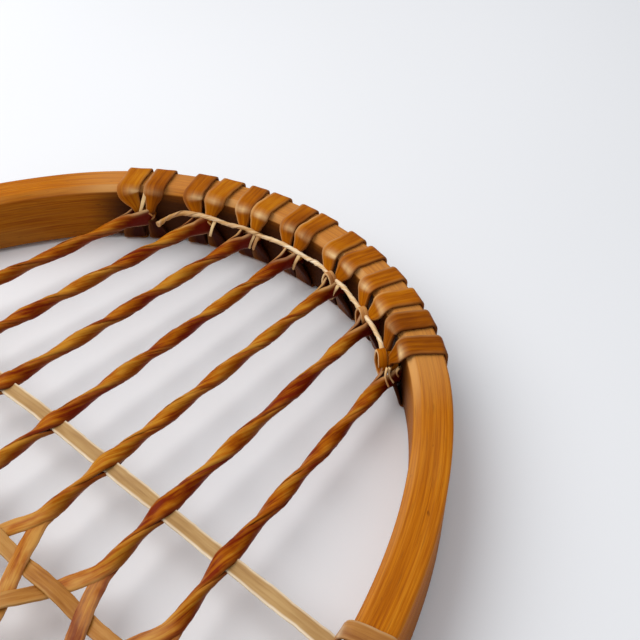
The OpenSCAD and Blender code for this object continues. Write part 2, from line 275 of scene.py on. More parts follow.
# Materials
class Nodes:
    """Short ways to add nodes to a new material."""

    def __init__(self, name):
        self.material = bpy.data.materials.new(name)
        self.material.use_nodes = True
        self.tree = self.material.node_tree
        self.shader = self.tree.nodes["Principled BSDF"]

    def add(self, kind, **settings):
        node = self.tree.nodes.new(kind)
        for key, value in settings.items():
            setattr(node, key, value)
        return node

    def join(self, start, end):
        self.tree.links.new(start, end)

    def feed(self, socket, value):
        """Joins another node's output to a socket, or sets it to a colour or a number."""
        if hasattr(value, "links"):
            self.join(value, socket)
        elif isinstance(value, tuple):
            socket.default_value = (*value, 1)
        else:
            socket.default_value = value

    def noise(self, output, scale, detail, rough=0.55, bend=0.0):
        """Noise over a texture coordinate that is scaled first."""
        mapping = self.add("ShaderNodeMapping")
        mapping.inputs["Scale"].default_value = scale
        self.join(self.add("ShaderNodeTexCoord").outputs[output], mapping.inputs["Vector"])
        node = self.add("ShaderNodeTexNoise")
        for key, number in (("Scale", 1.0), ("Detail", detail), ("Roughness", rough), ("Distortion", bend)):
            node.inputs[key].default_value = number
        self.join(mapping.outputs["Vector"], node.inputs["Vector"])
        return node.outputs["Fac"]

    def ramp(self, value, stops):
        node = self.add("ShaderNodeValToRGB")
        marks = node.color_ramp.elements
        while len(marks) < len(stops):
            marks.new(0.5)
        for mark, (at, colour) in zip(marks, stops):
            mark.position = at
            mark.color = (*colour, 1)
        self.join(value, node.inputs["Fac"])
        return node.outputs["Color"]

    def span(self, value, low, high, to_low, to_high):
        node = self.add("ShaderNodeMapRange")
        for key, number in zip(("From Min", "From Max", "To Min", "To Max"), (low, high, to_low, to_high)):
            node.inputs[key].default_value = number
        self.join(value, node.inputs["Value"])
        return node.outputs["Result"]

    def mark(self, name):
        return self.add("ShaderNodeAttribute", attribute_name=name).outputs["Fac"]

    def mix(self, first, second, share, mode="MIX"):
        node = self.add("ShaderNodeMix", data_type="RGBA", blend_type=mode)
        for place_at, value in ((6, first), (7, second), (0, share)):
            self.feed(node.inputs[place_at], value)
        return node.outputs[2]

    def combine(self, first, second, kind="MULTIPLY"):
        node = self.add("ShaderNodeMath", operation=kind)
        for place_at, value in enumerate((first, second)):
            self.feed(node.inputs[place_at], value)
        return node.outputs[0]

    def bump(self, height, strength, distance, below=None):
        node = self.add("ShaderNodeBump")
        node.inputs["Strength"].default_value = strength
        node.inputs["Distance"].default_value = distance
        self.join(height, node.inputs["Height"])
        if below is not None:
            self.join(below, node.inputs["Normal"])
        return node.outputs["Normal"]

    def finish(self, colour, rough, normal):
        self.join(colour, self.shader.inputs["Base Color"])
        self.join(rough, self.shader.inputs["Roughness"])
        self.join(normal, self.shader.inputs["Normal"])
        return self.material


def ash_wood():
    n = Nodes("ash_wood")
    fine = n.noise("UV", (0.4, 17, 1), detail=6.0, rough=0.62, bend=0.15)
    rings = n.noise("UV", (0.1, 9, 1), detail=5.0, rough=0.62, bend=0.25)
    broad = n.noise("UV", (0.09, 0.35, 1), detail=3.0)
    pores = n.noise("UV", (0.8, 34, 1), detail=2.0, rough=0.5)
    nicks = n.noise("UV", (1.7, 5.5, 1), detail=1.0, rough=0.4)
    colour = n.ramp(rings, [(0.34, (0.375, 0.097, 0.001)), (0.5, (0.44, 0.125, 0.002)),
                            (0.66, (0.495, 0.158, 0.007))])
    grain = n.ramp(fine, [(0.36, (0.2, 0.2, 0.2)), (0.6, (0.76, 0.76, 0.76))])
    colour = n.mix(colour, grain, 0.6, "SOFT_LIGHT")
    colour = n.mix(colour, (0.5, 0.22, 0.045), n.span(broad, 0.52, 0.75, 0, 0.55))
    colour = n.mix(colour, (0.12, 0.035, 0.006), n.span(pores, 0.6, 0.72, 0, 0.6))
    colour = n.mix(colour, (0.1, 0.022, 0.003), n.span(nicks, 0.73, 0.79, 0, 0.75))
    # Paler where the pale mark is: wear and painted highlight on the corners, most on the inner bevel, and
    # a paler top at the tips
    colour = n.mix(colour, (0.72, 0.38, 0.13), n.combine(n.mark("pale"), 0.85))
    # Near black where the shade mark is: painted shade on the inner and outer faces
    colour = n.mix(colour, (0.035, 0.008, 0.002), n.mark("shade"))
    rough = n.span(fine, 0.3, 0.7, 0.45, 0.62)
    normal = n.bump(pores, strength=0.25, distance=0.0002)
    normal = n.bump(fine, strength=0.35, distance=0.00025, below=normal)
    n.shader.inputs["Specular IOR Level"].default_value = 0.06
    return n.finish(colour, rough, normal)


def hide(name, dark, middle, light, groove, edge, rough, shine, least, spread=0.16, blotch=1.0):
    """Rawhide: lengthwise fibre, translucent amber where it is thin, paler on cut edges and where a painted
    highlight is marked.
    In blotches its pale marks fade to the share least. Its groove colour is that of painted shade and, for
    the straw, of its browner stretches."""
    n = Nodes(name)
    fibre = n.noise("UV", (0.55, 9, 1), detail=5.0, rough=0.6, bend=0.4)
    patch = n.noise("UV", (0.5 * blotch, 1.1 * blotch, 1), detail=3.0, rough=0.5)
    grain = n.noise("UV", (7, 14, 1), detail=4.0, rough=0.6)
    mixed = n.combine(n.combine(fibre, 0.55), n.combine(patch, 0.45), "ADD")
    shifted = n.combine(mixed, n.span(n.mark("tone"), 0, 1, -0.07, 0.07), "ADD")
    colour = n.ramp(shifted, [(0.5 - spread, dark), (0.5, middle), (0.5 + spread, light)])
    # Towards the groove colour by the shade mark: painted shade, and for the straw its browner stretches
    colour = n.mix(colour, groove, n.mark("shade"))
    # Towards the edge colour by the pale mark: pale cut edges, pale strands and painted highlights
    colour = n.mix(colour, edge, n.combine(n.mark("pale"), n.span(patch, 0.36, 0.6, least, 1.0)))
    roughness = n.span(grain, 0.3, 0.7, *rough)
    normal = n.bump(grain, strength=0.2, distance=0.00012)
    normal = n.bump(fibre, strength=0.5, distance=0.0004, below=normal)
    n.shader.inputs["Specular IOR Level"].default_value = shine
    return n.finish(colour, roughness, normal)


def copper_metal():
    n = Nodes("copper_metal")
    patch = n.noise("Object", (90, 90, 90), detail=5.0)
    dents = n.noise("Object", (420, 420, 420), detail=2.0)
    colour = n.ramp(patch, [(0.35, (0.3, 0.12, 0.055)), (0.55, (0.62, 0.27, 0.13)),
                            (0.7, (0.75, 0.4, 0.22))])
    n.shader.inputs["Metallic"].default_value = 1.0
    rough = n.span(patch, 0.3, 0.7, 0.45, 0.28)
    return n.finish(colour, rough, n.bump(dents, strength=0.3, distance=0.0002))


def studio_floor():
    n = Nodes("studio_floor")
    cloud = n.noise("Object", (2, 2, 2), detail=2.0)
    colour = n.ramp(cloud, [(0.3, (0.8, 0.81, 0.84)), (0.7, (0.84, 0.85, 0.88))])
    rough = n.span(cloud, 0.3, 0.7, 0.6, 0.7)
    return n.finish(colour, rough, n.bump(cloud, strength=0.02, distance=0.0005))


WOOD = ash_wood()
# Each hide's groove colour is what its shade mark mixes to, the colour of painted shade and, for the straw,
# of its browner stretches; its edge colour is that of pale cut edges and painted highlights
AMBER = hide("rawhide_amber", (0.21, 0.046, 0.001), (0.375, 0.1, 0.001), (0.5, 0.172, 0.005),
             groove=(0.04, 0.005, 0.001), edge=(0.92, 0.66, 0.33),
             rough=(0.3, 0.45), shine=0.03, least=0.2)
LACE = hide("rawhide_lace", (0.25, 0.075, 0.004), (0.39, 0.152, 0.02), (0.5, 0.24, 0.055),
            groove=(0.04, 0.005, 0.001), edge=(0.62, 0.4, 0.17),
            rough=(0.34, 0.5), shine=0.2, least=0.2)
DARK = hide("rawhide_dark", (0.18, 0.016, 0.0003), (0.385, 0.1, 0.001), (0.51, 0.21, 0.016),
            groove=(0.12, 0.006, 0.0003), edge=(0.74, 0.5, 0.24),
            rough=(0.26, 0.42), shine=0.05, least=0.25, spread=0.12, blotch=2.0)
PALE = hide("rawhide_pale", (0.3, 0.15, 0.045), (0.42, 0.235, 0.08), (0.52, 0.32, 0.125),
            groove=(0.16, 0.05, 0.008), edge=(0.9, 0.76, 0.56),
            rough=(0.4, 0.55), shine=0.25, least=0.7)
TAN = hide("rawhide_tan", (0.26, 0.085, 0.012), (0.4, 0.165, 0.03), (0.52, 0.27, 0.085),
           groove=(0.06, 0.012, 0.002), edge=(0.86, 0.68, 0.44),
           rough=(0.38, 0.52), shine=0.22, least=0.4)
STRAW = hide("straw_fibre", (0.4, 0.18, 0.04), (0.78, 0.52, 0.26), (0.98, 0.86, 0.64),
             groove=(0.44, 0.18, 0.015), edge=(0.9, 0.75, 0.54),
             rough=(0.5, 0.65), shine=0.2, least=0.3)
COPPER = copper_metal()


# Hoop of bent ash, swept from the feather edge of its scarf right round to the other one
def hoop_path():
    """Points on the outer face with the way outwards, from one feather of the scarf to the other."""
    pieces = []
    reach = STOCK_WIDTH / 2 / SCARF_SLOPE

    def straight(x, y0, y1):
        count = int(abs(y1 - y0) / 3) + 2
        y = np.linspace(y0, y1, count)
        pieces.append(np.c_[np.full(count, x), y, np.full(count, np.sign(x)), np.zeros(count)])

    def arc(x, y, radius, a0, a1):
        t = np.linspace(a0, a1, int(abs(a1 - a0) * radius / 2.5) + 2)
        pieces.append(np.c_[x + radius * np.cos(t), y + radius * np.sin(t), np.cos(t), np.sin(t)])

    half_turn = math.pi
    straight(HALF_WIDTH, SCARF_Y - reach, SIDE_END)
    arc(SHOULDER_CENTER, SIDE_END, SHOULDER_RADIUS, 0, BEND_ANGLE)
    arc(0, TIP_CENTER, TIP_RADIUS, BEND_ANGLE, half_turn - BEND_ANGLE)
    arc(-SHOULDER_CENTER, SIDE_END, SHOULDER_RADIUS, half_turn - BEND_ANGLE, half_turn)
    straight(-HALF_WIDTH, SIDE_END, -SIDE_END)
    arc(-SHOULDER_CENTER, -SIDE_END, SHOULDER_RADIUS, half_turn, half_turn + BEND_ANGLE)
    arc(0, -TIP_CENTER, TIP_RADIUS, half_turn + BEND_ANGLE, 2 * half_turn - BEND_ANGLE)
    arc(SHOULDER_CENTER, -SIDE_END, SHOULDER_RADIUS, 2 * half_turn - BEND_ANGLE, 2 * half_turn)
    straight(HALF_WIDTH, -SIDE_END, SCARF_Y + reach)
    path = np.vstack(pieces)
    keep = np.r_[True, np.linalg.norm(np.diff(path[:, :2], axis=0), axis=1) > 0.01]
    return path[keep]


def hoop_section(low, high, low_round, high_round, bevel):
    """Outline of the stock between two depths: a bevel on the inner top edge, the others only eased."""
    out = []

    def eased(a, z, inward, upward, wide, first):
        for step in range(4):
            t = math.radians(first + 30 * step)
            out.append((a + inward * wide + wide * math.cos(t), z + upward * EDGE + EDGE * math.sin(t)))

    eased(high, WOOD_TOP, -1, -1, high_round, 0)
    span = high - high_round - (low + bevel)
    out += [(low + bevel + span * q, WOOD_TOP) for q in (0.7, 0.35)]
    out += [(low + bevel * 1.12, WOOD_TOP - 0.02), (low + bevel * 0.86, WOOD_TOP - 0.2),
            (low + bevel * 0.5, WOOD_TOP - BEVEL * 0.52), (low + bevel * 0.1, WOOD_TOP - BEVEL * 0.9),
            (low, WOOD_TOP - BEVEL * 1.15)]
    middle = (WOOD_TOP + WOOD_BOTTOM) / 2
    out += [(low, middle + q) for q in (5, -1, -7)]
    eased(low, WOOD_BOTTOM, 1, 1, low_round, 180)
    span = high - high_round - (low + low_round)
    out += [(low + low_round + span * q, WOOD_BOTTOM) for q in (0.35, 0.7)]
    eased(high, WOOD_BOTTOM, -1, 1, high_round, 270)
    out += [(high, middle + q) for q in (-7, -1, 5)]
    return np.array(out)


def build_hoop():
    path = hoop_path()
    s = lengths(path[:, :2])
    total = s[-1]
    scarf = STOCK_WIDTH / SCARF_SLOPE
    rings = []
    for at, (x, y, nx, ny) in zip(s, path):
        low, high = -STOCK_WIDTH, 0.0
        low_round, high_round, bevel = EDGE, EDGE, BEVEL
        if at < scarf:
            high = -STOCK_WIDTH + max(FEATHER, at * SCARF_SLOPE - GLUE_GAP)
            high_round = min(SCARF_EASE, (high - low) * 0.3)
            low_round = min(EDGE, (high - low) * 0.3)
            bevel = min(BEVEL, (high - low) * 0.5)
        if at > total - scarf:
            low = -max(FEATHER, (total - at) * SCARF_SLOPE - GLUE_GAP)
            low_round = min(SCARF_EASE, (high - low) * 0.3)
            high_round = min(EDGE, (high - low) * 0.3)
            bevel = min(SCARF_EASE, (high - low) * 0.3)
        section = hoop_section(low, high, low_round, high_round, bevel)
        rings.append(np.c_[x + nx * section[:, 0], y + ny * section[:, 0], section[:, 1]])
    rings = np.array(rings)
    out = np.c_[path[:, 2:], np.zeros(len(path))]
    rings[..., 2] += wander(s, 11, 0.12, 140)[:, None] * smooth((rings[..., 2] - 6) / 14)
    rings += out[:, None, :] * wander(s, 12, 0.1, 90)[:, None, None]
    full = hoop_section(-STOCK_WIDTH, 0.0, EDGE, EDGE, BEVEL)
    around = np.r_[0, np.cumsum(np.linalg.norm(np.roll(full, -1, axis=0) - full, axis=1))]
    # Marks by place in the section: the corners are paler, most on the inner bevel, from wear and as a
    # painted highlight, and the top is paler at the tips; the inner and outer faces get painted shade
    corner, inner, outer, top = np.zeros((4, len(full)))
    corner[0:4] = (0.0, 0.2, 0.2, 0.0)
    corner[6:11] = (0.1, 0.85, 1.0, 0.85, 0.1)
    inner[10:20] = (0.7, 0.95, 1.0, 1.0, 1.0, 1.0, 1.0, 1.0, 0.8, 0.5)
    outer[20:27] = (0.45, 0.45, 0.45, 0.42, 0.38, 0.3, 0.18)
    top[3:8] = 0.3
    # Wear and painted highlight on the corners, waving along the hoop and kept mostly to the tips
    wear_and_highlight = np.clip(0.7 + wander(s, 13, 0.5, 60), 0, 1)
    # Painted shade on the inner face, much darker towards the tips where the hitches are
    behind = 0.3 + 0.67 * smooth((np.abs(path[:, 1]) - 208) / 14)
    at_tip = smooth((np.abs(path[:, 1]) - 200) / 20)
    wear_and_highlight = wear_and_highlight * (0.3 + 0.7 * at_tip)
    light = np.maximum(wear_and_highlight[:, None] * corner, at_tip[:, None] * top)
    strands = Strands()
    strands.sweep(rings, s / 10, around / 10, 0.5, behind[:, None] * inner + outer, light)
    place(strands, "hoop_bent_ash", WOOD, ["frame_hoop"])


# Places on the hoop, by depth (0 at the outer face, negative inwards), distance along and height
class Tip:
    """A place on a tip bend, at an angle from the tip. The heel is the toe turned half round."""

    def __init__(self, angle, turned):
        self.angle = math.radians(angle)
        self.sign = -1.0 if turned else 1.0

    def world(self, a, b, z):
        t = self.angle + np.asarray(b, float) / TIP_RADIUS
        out = np.stack([np.sin(t), np.cos(t), np.zeros_like(t)], axis=-1) * self.sign
        r = TIP_RADIUS + np.asarray(a, float)
        point = np.stack([r * np.sin(t), TIP_CENTER + r * np.cos(t), np.zeros_like(t)], axis=-1) * self.sign
        point[..., 2] = z
        return point, out


class Side:
    """A place on a side of the hoop, at y along the shoe."""

    def __init__(self, y, right):
        self.y = y
        self.sign = 1.0 if right else -1.0

    def world(self, a, b, z):
        y = self.y + np.asarray(b, float)
        over = np.maximum(np.abs(y) - SIDE_END, 0)
        t = np.arcsin(over / SHOULDER_RADIUS)
        end = np.sign(y)
        r = SHOULDER_RADIUS + np.asarray(a, float)
        x = (SHOULDER_CENTER + r * np.cos(t)) * self.sign
        along = np.where(over > 0, end * (SIDE_END + r * np.sin(t)), y)
        out = np.stack([np.cos(t) * self.sign, end * np.sin(t), np.zeros_like(t)], axis=-1)
        return np.stack([x, along, np.broadcast_to(z, x.shape)], axis=-1), out


def turn_route(neck, neck_top, neck_low, bulge):
    """Depth, height and spread of a turn round the stock, from under the neck to its top."""
    off = 0.75
    r = EDGE + off
    bend = BEVEL + off + 0.8 * bulge
    low, high = WOOD_BOTTOM + EDGE, WOOD_TOP - EDGE
    outer, inner = -EDGE, EDGE - STOCK_WIDTH
    inner_top, high_top = BEVEL - STOCK_WIDTH - 0.2 * bulge, WOOD_TOP + off - bend

    def corner(a, z, radius, first, last, count):
        t = np.radians(np.linspace(first, last, count))
        return np.c_[a + radius * np.cos(t), z + radius * np.sin(t)]

    def leg(start, start_way, end, end_way, count):
        t = np.linspace(0, 1, count)[:, None]
        start, end = np.array(start), np.array(end)
        start_way, end_way = np.array(start_way), np.array(end_way)
        return ((2 * t**3 - 3 * t**2 + 1) * start + (t**3 - 2 * t**2 + t) * start_way
                + (3 * t**2 - 2 * t**3) * end + (t**3 - t**2) * end_way)

    under = corner(inner, low, r, 188, 270, 6)
    over = corner(inner_top, high_top, bend, 90, 166, 8)
    lower = leg((-neck, neck_low), (1.5, -6), under[0], (1.0, -7), 10)[:-1]
    upper = leg(over[-1], (-1.2, -6.0), (-neck, neck_top), (-0.6, -6.0), 14)[1:]
    beneath = np.c_[np.linspace(inner, outer, 5)[1:-1], np.full(3, low - r)]
    outside = np.c_[np.full(5, outer + r), np.linspace(low, high, 7)[1:-1]]
    across = np.c_[np.linspace(outer, inner_top, 6)[1:-1], np.full(4, high + r)]
    path = np.vstack([lower, under, beneath, corner(outer, low, r, 270, 360, 6), outside,
                      corner(outer, high, r, 0, 90, 6), across, over, upper])
    spread = np.ones(len(path))
    spread[:len(lower)] = smooth(np.linspace(0, 1, len(lower)))
    tail = len(upper) + 4
    spread[-tail:] = 1 - smooth(np.linspace(0, 1, tail))
    return path, spread


def turn(strands, spot, b, neck_b, width, neck, seed, slant, bulge=0.5, stain=0.0):
    """One turn of rawhide round the stock, drawn in to the neck of its hitch."""
    path, spread = turn_route(neck, LACING_Z + 1.7, LACING_Z - 1.5, bulge)
    a, z = path[:, 0], path[:, 1]
    b = neck_b + (b + slant * (a / 6 + 1) - neck_b) * spread
    points, out = spot.world(a, b, z)
    way = np.gradient(path, axis=0)
    normals = out * way[:, 1:2]
    normals[:, 2] = -way[:, 0]
    wide = NECK_WIDTH + (width - NECK_WIDTH) * spread
    deep = LACE_DEPTH + 0.8 * (1 - spread)
    # A painted highlight on the bend over the inner top edge, of random strength and off to one side, and
    # painted shade below it on the inner face and the lower legs; the first hitch is darker all over in its
    # own colour
    upper = np.arange(len(a)) > len(a) / 2
    fold_highlight = np.exp(-((z - 23.4) / 0.85)**2) * smooth((-10.2 - a) / 1.2) * upper
    dark = np.maximum(0.74 * smooth((18.0 - z) / 5.0) * smooth((-12.2 - a) / 0.6), stain)
    highlight_share, patch = np.random.RandomState(seed + 6).uniform((0.7, -0.7), (1.0, 0.1))
    # The edge on the side towards the light is paler than the other, as a painted highlight
    edges = (TURN_EDGE * 0.2 * (1 - dark), TURN_EDGE * (1 - dark))
    # With a share of painted shade on the sides that face away from the light
    strand(strands, points, unit(normals), wide, deep, seed, cup=0.12, rough=0.22, edge_pale=edges,
           pale=fold_highlight * highlight_share, dark=dark, lee_shade=0.5, patch=patch)


def neck_tie(strands, spot, depth, wide, tall, seed, turns=1.25, width=2.6, edges=(0.3, 0.1), pale=0.0):
    """The strand wound round the neck of a hitch, wide and tall to each side of its middle."""
    t = np.linspace(0.3, 0.3 + turns * 2 * math.pi, int(26 * turns))
    a = -depth + np.linspace(-0.9, 0.9, len(t))
    b = wide * np.cos(t)
    z = LACING_Z + tall * np.sin(t)
    points, _ = spot.world(a, b, z)
    ahead, _ = spot.world(a, b * 1.2, LACING_Z + tall * 1.2 * np.sin(t))
    strand(strands, points, unit(ahead - points), width, 1.0, seed, square=0.5, sides=12, rough=0.15,
           edge_pale=edges, pale=pale)


def binding_end(strands, spot, start, end, seed):
    """A thin pale strand beside the neck. Its ends are given as depth, distance along and height."""
    t = np.linspace(0, 1, 11)
    a, b, z = (first + (last - first) * t for first, last in zip(start, end))
    a = a - 0.8 * np.sin(math.pi * t)
    points, out = spot.world(a, b, LACING_Z + z)
    strand(strands, points, -out, 1.5 - 0.5 * t, 0.7, seed, square=0.6, sides=10, rough=0.1,
           edge_pale=(0.5, 0.5), pale=1.0)


# Pairs of turns at the photographed end: middle and half distance apart in degrees, widths, slants
HEEL_PAIRS = {
    3: (37.0, 3.1, 8.6, 8.4, 0.5, 0.7),
    2: (25.0, 3.0, 7.8, 8.2, 0.2, 0.5),
    1: (12.5, 2.7, 7.5, 8.4, 0.1, 0.5),
    0: (0.0, 2.2, 7.2, 7.6, 0.0, 0.4),
    -1: (-11.2, 2.2, 7.4, 8.0, 0.0, 0.9),
    -2: (-22.2, 2.6, 8.0, 8.6, 0.7, 1.2),
    -3: (-35.9, 2.6, 8.8, 8.2, 1.5, 1.1),
}

# The same for every pair at the other end, apart from its middle
TOE_PAIR = (2.5, 7.6, 7.8, 0.0, 0.0)

# Ends of the binding strands that hang over the root of the first cord
FIRST_STRANDS = (((-17.4, 6.6, 3.0), (-17.2, 10.4, -2.6)), ((-16.4, 6.0, 2.4), (-15.2, 8.4, -2.6)),
                 ((-13.2, 6.0, 2.0), (-13.4, 7.0, -1.2)))

# Number of short binding strands that hang from the selvage at each hitch
BINDING_ENDS = {3: 0, 2: 1, 1: 2, 0: 1, -1: 2, -2: 1, -3: 0}


def build_tip_hitches(end, turned):
    for i in range(CORD_COUNT):
        k = FIRST - i
        seed = 100 + 40 * i + (1000 if turned else 0)
        pair = HEEL_PAIRS[k] if turned else (k * HITCH_ANGLE, *TOE_PAIR)
        middle, half, width, width_two, lean, lean_two = pair
        spot = Tip(middle, turned)
        apart = math.radians(half) * TIP_RADIUS
        strands = Strands()
        stain, tall = (0.24, 3.3) if k == FIRST else (0.0, 2.3)
        for j, (hand, wide, slant) in enumerate(((-1, width, lean), (1, width_two, lean_two))):
            turn(strands, spot, hand * apart, hand * TIP_NECK_HALF, wide, TIP_NECK, seed + 10 * j, slant,
                 bulge=0.9, stain=stain)
        neck_tie(strands, spot, TIP_NECK - 1.0, 3.7, tall, seed + 20)
        if k in (1, 2):
            neck_tie(strands, spot, 16.9, 3.6, 5.6, seed + 30, turns=1.6, width=1.7, edges=(0.9, 0.7),
                     pale=0.35)
        if k == FIRST:
            neck_tie(strands, spot, 17.9, 4.3, 4.7, seed + 30, turns=1.6, width=2.0, edges=(0.8, 0.5))
            for j, (top, foot) in enumerate(FIRST_STRANDS):
                binding_end(strands, spot, top, foot, seed + 31 + j)
        for j in range(BINDING_ENDS[k]):
            start = 5.6 - 2.1 * j
            binding_end(strands, spot, (-16.2, start, 3.4), (-18.2, start - 2.0, -3.2), seed + 24 + j)
        if k == -FIRST:
            binding_end(strands, spot, (-13.2, 0.6, 9.5), (-17.4, -3.4, -1.8), seed + 28)
        name = "%s_hitch_%d" % (end, i + 1)
        place(strands, name + "_bands", AMBER, [name])


def side_hitch(strands, y, right, seed):
    spot = Side(y, right)
    step = (SIDE_TURN + TURN_GAP) / 2
    for hand in (-1, 1):
        turn(strands, spot, hand * step, hand * 1.7, SIDE_TURN, SIDE_NECK, seed + 10 * hand, 0.2 * hand)
    neck_tie(strands, spot, 14.3, 3.5, 2.6, seed + 30, turns=1.2, width=2.2)


def build_side_hitches():
    for right, name in ((True, "right_side_hitches"), (False, "left_side_hitches")):
        strands = Strands()
        for i in range(ROW_COUNT + PANEL_ROWS + 1):
            side_hitch(strands, FIRST_ROW + i * ROW_PITCH, right, 3000 + 60 * i + (700 if right else 0))
        place(strands, name + "_bands", AMBER, [name])
    for end, sign in (("heel", -1), ("toe", 1)):
        strands = Strands()
        for right in (True, False):
            side_hitch(strands, sign * STRIP_Y, right, 4500 + (90 if right else 0) + 200 * sign)
        name = end + "_strip_hitches"
        place(strands, name + "_bands", TAN, [name])


# Twisted cords of two plies
def lay_plies(strands, axis, phase, gap, width, depth, seed, square=0.75, sides=16, rough=0.15, edge=0.0,
              ends=(None, None), dark=0.0, side=0.0):
    """Two half-round plies laid face to face and twisted round a path that lies nearly level."""
    forward = unit(np.gradient(axis, axis=0))
    across = unit(np.cross(forward, np.array([0.0, 0.0, 1.0])))
    up = np.cross(across, forward)
    s = lengths(axis)
    turned = phase + wander(s, seed, 0.2, 53) * smooth((s[-1] - s) / 12)
    for ply in (0, 1):
        angle = (turned + ply * math.pi)[:, None]
        outward = across * np.cos(angle) + up * np.sin(angle)
        points = axis + outward * np.reshape(gap, (-1, 1))
        wide = width * (1 + wander(s, seed + 31 + ply, 0.07, 33))
        deep = np.broadcast_to(depth, s.shape)
        # The dark share: painted shade near the roots of the cords, a browner tone along the selvage
        shade_and_tint = np.broadcast_to(dark, s.shape)
        below = np.full(len(s), 0.05)
        pale = np.broadcast_to(edge, s.shape)
        # Painted shade on the faces where the plies meet, and by the side share on their sides that face
        # away from the light
        wash, groove, lee_shade = 0.0, 0.8, side
        lace = ends[0] if outward[-1, 2] > 0 else ends[1]
        if lace is not None:
            count = len(lace)
            points = np.vstack([points, lace])
            relax(points, 10, len(s) - 8, 3)
            outward = np.vstack([outward, np.repeat(outward[-1:], count, axis=0)])
            to_lace = smooth(np.r_[np.zeros(len(s) - 8), np.linspace(0, 1, 12), np.ones(count - 4)])
            spare = np.r_[np.full(len(s) + count - 4, 0.3), 0.1, -0.2, -0.5, -0.6]
            wide = np.r_[wide, np.full(count, wide[-1])] * (1 - to_lace) + (LACE_WIDTH + spare) * to_lace
            deep = np.r_[deep, np.full(count, deep[-1])] * (1 - to_lace) + (LACE_DEPTH + spare) * to_lace
            below = 0.05 * (1 - to_lace) + (LACE_DEPTH + spare) / 2 * to_lace
            pale = np.r_[pale, np.full(count, 0.1)]
            shade_and_tint = np.r_[shade_and_tint, np.zeros(count)]
            wash, groove, lee_shade = 0.2 * to_lace, 0.8 * (1 - to_lace), side * (1 - 0.8 * to_lace)
        strand(strands, points, outward, wide, deep, seed + 5 * ply, square=square, sides=sides,
               rough=rough, groove=groove, edge_pale=(pale, pale), dark=shade_and_tint, below=below,
               wash=wash, lee_shade=lee_shade)


def cord_axis(points):
    """Points about 1.1 mm apart along a bent line, with their distances and those of the bends."""
    line = np.array(points, float)
    s = lengths(line)
    at = np.linspace(0, s[-1], int(s[-1] / 1.1))
    axis = np.stack([np.interp(at, s, line[:, i]) for i in range(3)], axis=-1)
    relax(axis, 3)
    return axis, at, s


# How far from the fork a ply passes into its lace: under the first strip, or under the first crossing lace
FORK_SEAM = {1: 9.9, -1: 21.4}


def lace_line(k, y, hand):
    """Places across and heights of a lace that leans right. Where laces cross, hand 1 lies over hand -1."""
    x = k * FORK_SPACING + (y + FORK_Y) * SLANT
    z = LACING_Z + hand * WEAVE_WAVE * np.cos(2 * math.pi * (y + FORK_Y) / ROW_PITCH)
    return x, z


def lace_spot(k, y, hand):
    """Points of a slanting lace. Hand 1 leans right and hand -1 is its mirror image."""
    x, z = lace_line(k, y, hand)
    return np.stack([hand * x, y, z], axis=-1)


def cord(strands, k, turned, tail, tail_x, loop, seed):
    """A cord from its hitch to the strip and on, to end there in a loop or to run out into laces."""
    sign = -1.0 if turned else 1.0
    middle = HEEL_PAIRS[k][0] if turned else k * HITCH_ANGLE
    t = math.radians(middle)
    root_z = LACING_Z - (FIRST_DROP if k == FIRST else 0.0)
    line = [(CORD_START * math.sin(t), TIP_CENTER + CORD_START * math.cos(t), root_z),
            (k * CORD_SPACING, STRIP_Y, LACING_Z), (tail_x, STRIP_Y - tail, LACING_Z)]
    line = [(sign * x, sign * y, z) for x, y, z in line]
    axis, at, s = cord_axis(line)
    first, total = s[1], s[2]
    plain = 8.0
    half_turns = round((first - plain) / HALF_TWIST - 0.5) + 0.5
    tail_turns = 0.0 if loop else max(1.0, round((total - first) / HALF_TWIST))
    ahead = half_turns * np.clip((at - plain) / (first - plain), 0, 1) - half_turns
    behind = tail_turns * (at - first) / (total - first)
    phase = math.pi / 2 + LAY * math.pi * np.where(at < first, ahead, behind)
    # The plies part where they clasp the strip and at the root, where they are broader too
    near = np.exp(-((at - first) / 4.2)**2)
    begin = np.exp(-(at / 7.5)**2)
    gap = 0.02 + 0.72 * near + 2.4 * begin
    width = 5.0 + 0.9 * near + 3.4 * begin
    if loop:
        gap = gap * np.clip((total - at) / 2.6, 0.05, 1)
    edge = 0.04 + 0.7 * np.exp(-(at / 11.0)**2)
    ends = (None, None)
    if turned:
        ends = [lace_spot(-hand * k, np.arange(1.2, seam + 3.5, 1.15) - FORK_Y, hand)
                for hand, seam in FORK_SEAM.items()]
    # Painted shade on the faces of the plies near the root, where they stand on edge, and a share of it on
    # their sides that face away from the light
    dark = 0.85 * np.exp(-(at / 10.0)**2)
    depth = PLY_DEPTH - 0.35 * begin
    lay_plies(strands, axis, phase, gap, width, depth, seed, edge=edge, ends=ends, dark=dark, side=0.7)


def build_cords():
    for i in range(CORD_COUNT):
        k = FIRST - i
        strands = Strands()
        cord(strands, k, True, STRIP_Y - FORK_Y, k * FORK_SPACING, False, 5000 + 50 * i)
        name = "heel_cord_%d" % (i + 1)
        place(strands, name + "_plies", DARK, [name])
        strands = Strands()
        runs_on = abs(k) == 2
        tail = STRIP_Y - TOE_CORD_Y - TOE_CORD_HALF + 3 if runs_on else 5.0
        cord(strands, k, False, tail, k * CORD_SPACING, not runs_on, 6000 + 50 * i)
        name = "toe_cord_%d" % (i + 1)
        place(strands, name + "_plies", DARK, [name])


